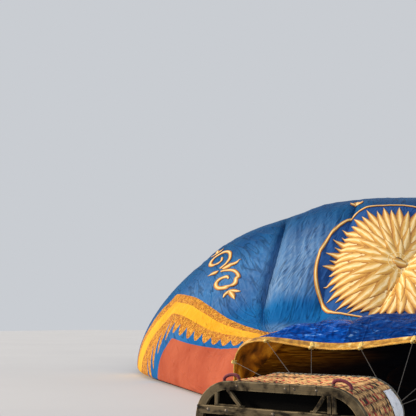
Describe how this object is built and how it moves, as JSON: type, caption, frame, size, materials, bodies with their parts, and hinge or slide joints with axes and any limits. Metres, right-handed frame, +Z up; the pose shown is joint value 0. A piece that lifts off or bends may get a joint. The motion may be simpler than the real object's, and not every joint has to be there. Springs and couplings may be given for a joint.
{
  "type": "hot air balloon",
  "caption": "Hot air balloon lying half inflated on its side, with wicker basket, burner on a gimbal, wires and envelope.",
  "frame": {"origin": "on the floor, under the middle of the bounding box", "axes": "+Y along the lying balloon from the basket's underside to the crown, +Z up, +X to the right as seen from the basket's underside"},
  "size_m": [18.6536, 25.9403, 6.0984],
  "materials": {
    "timber": "weathered hardwood",
    "wicker": "woven willow and cane",
    "rim_leather": "worn grey leather over padding",
    "floor_board": "dark stained plywood",
    "cylinder_steel": "satin",
    "rope": "braided rope",
    "banner_cloth": "plain coated cloth",
    "upright_cover": "padded cover",
    "steel": "stainless",
    "aluminium": "anodised",
    "hem_fabric": "gold coated nylon",
    "envelope_fabric": "coated ripstop nylon",
    "crown_webbing": "webbing",
    "valve_fabric": "coated ripstop nylon"
  },
  "bodies": {
    "balloon": {"timber_hoop": "timber", "skid_upper": "timber", "skid_lower": "timber", "underside_brace_upper_left": "timber", "underside_brace_upper_right": "timber", "underside_brace_lower_left": "timber", "underside_brace_lower_right": "timber", "wicker_walls": "wicker", "padded_rim": "rim_leather", "floor_board": "floor_board", "fuel_cylinder_upper_left": "cylinder_steel", "fuel_cylinder_upper_right": "cylinder_steel", "fuel_cylinder_lower_left": "cylinder_steel", "fuel_cylinder_lower_right": "cylinder_steel", "rope_handle_top_left": "rope", "rope_handle_top_right": "rope", "rope_handle_end_left": "rope", "rope_handle_end_right": "rope", "blank_banner": "banner_cloth", "upright_upper_left": "upright_cover", "upright_upper_right": "upright_cover", "upright_lower_left": "upright_cover", "upright_lower_right": "upright_cover", "burner_frame": "steel", "karabiner_upper_left": "steel", "karabiner_upper_right": "steel", "karabiner_lower_left": "steel", "karabiner_lower_right": "steel", "flying_wires_upper_left": "steel", "flying_wires_upper_right": "steel", "flying_wires_lower_left": "steel", "flying_wires_lower_right": "steel", "mouth_hem": "hem_fabric", "gore_pair_01": "envelope_fabric", "gore_pair_02": "envelope_fabric", "gore_pair_03": "envelope_fabric", "gore_pair_04": "envelope_fabric", "gore_pair_05": "envelope_fabric", "gore_pair_06": "envelope_fabric", "gore_pair_07": "envelope_fabric", "gore_pair_08": "envelope_fabric", "crown_ring": "crown_webbing"},
    "gimbal": {"gimbal_ring": "aluminium"},
    "burner": {"burner_base": "steel", "burner_coil_left": "steel", "burner_coil_right": "steel"},
    "valve": {"parachute_valve": "valve_fabric"}
  },
  "joints": [
    {"name": "gimbal_tilt", "type": "hinge", "parent": "balloon", "child": "gimbal", "pos_m": [3.536, -10.82, 0.43], "axis": [1, 0, 0], "range_deg": [-10, 10]},
    {"name": "burner_swing", "type": "hinge", "parent": "gimbal", "child": "burner", "pos_m": [3.536, -10.82, 0.43], "axis": [0, 0, 1], "range_deg": [-10, 10]},
    {"name": "valve_slide", "type": "slide", "parent": "balloon", "child": "valve", "axis": [0, -1, 0], "range_m": [0, 0.6]}
  ]
}
